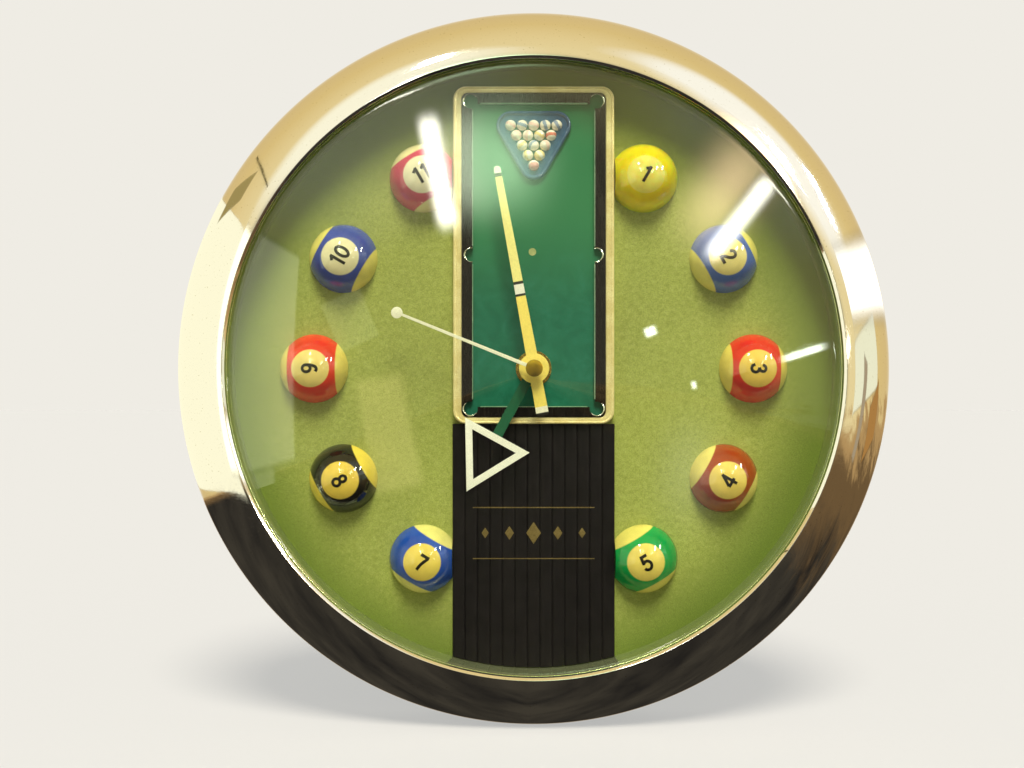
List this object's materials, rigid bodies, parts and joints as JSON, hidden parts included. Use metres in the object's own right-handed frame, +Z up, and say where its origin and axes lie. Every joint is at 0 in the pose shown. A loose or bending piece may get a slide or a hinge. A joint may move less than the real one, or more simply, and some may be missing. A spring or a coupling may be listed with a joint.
{
  "type": "wall clock",
  "caption": "Round quartz wall clock with a convex chrome bezel, domed glass, a felt dial with half-ball hour markers, a pool-table relief and hands driven by a gear train.",
  "frame": {"origin": "centre of the back plane, where the rim of the rear case rests on the wall", "axes": "+Z up towards twelve, +Y into the wall along the hands' axis, +X to the right seen from the front"},
  "size_m": [0.3, 0.048, 0.3],
  "materials": {
    "chrome_plate": "bright plated",
    "clear_glass": "polished",
    "hardboard": "pressed",
    "felt": "felt",
    "black_abs": "moulded",
    "zinc_steel": "zinc plated",
    "ball_yellow": "polished",
    "ball_blue": "polished",
    "ball_red": "polished",
    "ball_brown": "polished",
    "ball_green": "polished",
    "ball_black": "polished",
    "ball_pink": "polished",
    "gilt_metal": "satin lacquered",
    "rail_brown": "satin",
    "table_cloth": "baize",
    "rack_blue": "moulded",
    "rack_cream": "polished",
    "panel_black": "satin grooved",
    "green_enamel": "enamelled",
    "yellow_enamel": "enamelled",
    "white_enamel": "enamelled",
    "turned_brass": "turned",
    "rubber": "moulded",
    "natural_acetal": "moulded",
    "blackened_magnet": "sintered",
    "green_laminate": "solder mask",
    "black_epoxy": "cast",
    "white_nylon": "moulded",
    "enamelled_copper": "wound",
    "soft_iron": "stamped",
    "nickel_strip": "nickel plated",
    "battery_sleeve": "printed sleeve",
    "grey_abs": "moulded"
  },
  "bodies": {
    "case": {"lens": "clear_glass", "bezel": "chrome_plate", "spacer_ring": "chrome_plate", "dial_plate": "hardboard", "dial_felt": "felt", "rear_case": "black_abs", "case_screws": "zinc_steel", "hanger_plate": "zinc_steel", "hanger_screws": "zinc_steel", "ball_01": "ball_yellow", "ball_02": "ball_blue", "ball_03": "ball_red", "ball_04": "ball_brown", "ball_05": "ball_green", "ball_07": "ball_blue", "ball_08": "ball_black", "ball_09": "ball_red", "ball_10": "ball_blue", "ball_11": "ball_pink", "table_frame": "gilt_metal", "table_bed": "table_cloth", "table_rails": "rail_brown", "rack_triangle": "rack_blue", "rack_balls": "rack_cream", "lower_panel": "panel_black", "rubber_washer": "rubber", "mounting_washer": "turned_brass", "mounting_nut": "turned_brass", "movement_front": "black_abs", "movement_back": "black_abs", "middle_plate": "natural_acetal", "stator_plate": "soft_iron", "coil_core": "soft_iron", "coil_bobbin": "white_nylon", "coil_winding": "enamelled_copper", "circuit_board": "green_laminate", "driver_chip": "black_epoxy", "quartz_crystal": "nickel_strip", "contact_positive": "nickel_strip", "contact_negative": "nickel_strip"},
    "minute": {"centre_wheel": "turned_brass", "cannon_pinion": "turned_brass", "minute_hand": "yellow_enamel"},
    "hour": {"hour_wheel": "natural_acetal", "hour_hand": "green_enamel"},
    "second": {"second_wheel": "natural_acetal", "second_hand": "white_enamel", "second_cap": "turned_brass"},
    "third": {"third_wheel": "natural_acetal"},
    "fifth": {"fifth_wheel": "natural_acetal"},
    "rotor": {"rotor": "blackened_magnet"},
    "minute_wheel": {"minute_wheel": "natural_acetal"},
    "knob": {"setting_knob": "grey_abs"},
    "battery": {"battery": "battery_sleeve"}
  },
  "joints": [
    {"name": "minute_turn", "type": "hinge", "parent": "case", "child": "minute", "pos_m": [0, 0, 0], "axis": [0, 1, 0], "continuous": true},
    {"name": "hour_turn", "type": "hinge", "parent": "case", "child": "hour", "pos_m": [0, 0, 0], "axis": [0, 1, 0], "continuous": true},
    {"name": "second_turn", "type": "hinge", "parent": "case", "child": "second", "pos_m": [0, 0, 0], "axis": [0, 1, 0], "continuous": true},
    {"name": "third_turn", "type": "hinge", "parent": "case", "child": "third", "pos_m": [-0.0115, 0, 0.00419], "axis": [0, 1, 0], "continuous": true},
    {"name": "fifth_turn", "type": "hinge", "parent": "case", "child": "fifth", "pos_m": [0, 0, 0.0105], "axis": [0, 1, 0], "continuous": true},
    {"name": "rotor_turn", "type": "hinge", "parent": "case", "child": "rotor", "pos_m": [0.00779, 0, 0.015], "axis": [0, 1, 0], "continuous": true},
    {"name": "minute_wheel_turn", "type": "hinge", "parent": "case", "child": "minute_wheel", "pos_m": [0.01128, 0, 0.0041], "axis": [0, 1, 0], "continuous": true},
    {"name": "knob_turn", "type": "hinge", "parent": "case", "child": "knob", "pos_m": [0.02082, 0, 0.01365], "axis": [0, 1, 0], "continuous": true},
    {"name": "battery_slide", "type": "slide", "parent": "case", "child": "battery", "axis": [0, 1, 0], "range_m": [0, 0.03]}
  ],
  "couplings": [
    {"joint": "hour_turn", "follows": "minute_turn", "ratio": 0.083333},
    {"joint": "second_turn", "follows": "minute_turn", "ratio": 60},
    {"joint": "third_turn", "follows": "minute_turn", "ratio": -8},
    {"joint": "fifth_turn", "follows": "minute_turn", "ratio": -360},
    {"joint": "rotor_turn", "follows": "minute_turn", "ratio": 1800},
    {"joint": "minute_wheel_turn", "follows": "minute_turn", "ratio": -0.33333},
    {"joint": "knob_turn", "follows": "minute_turn", "ratio": 0.66667}
  ]
}
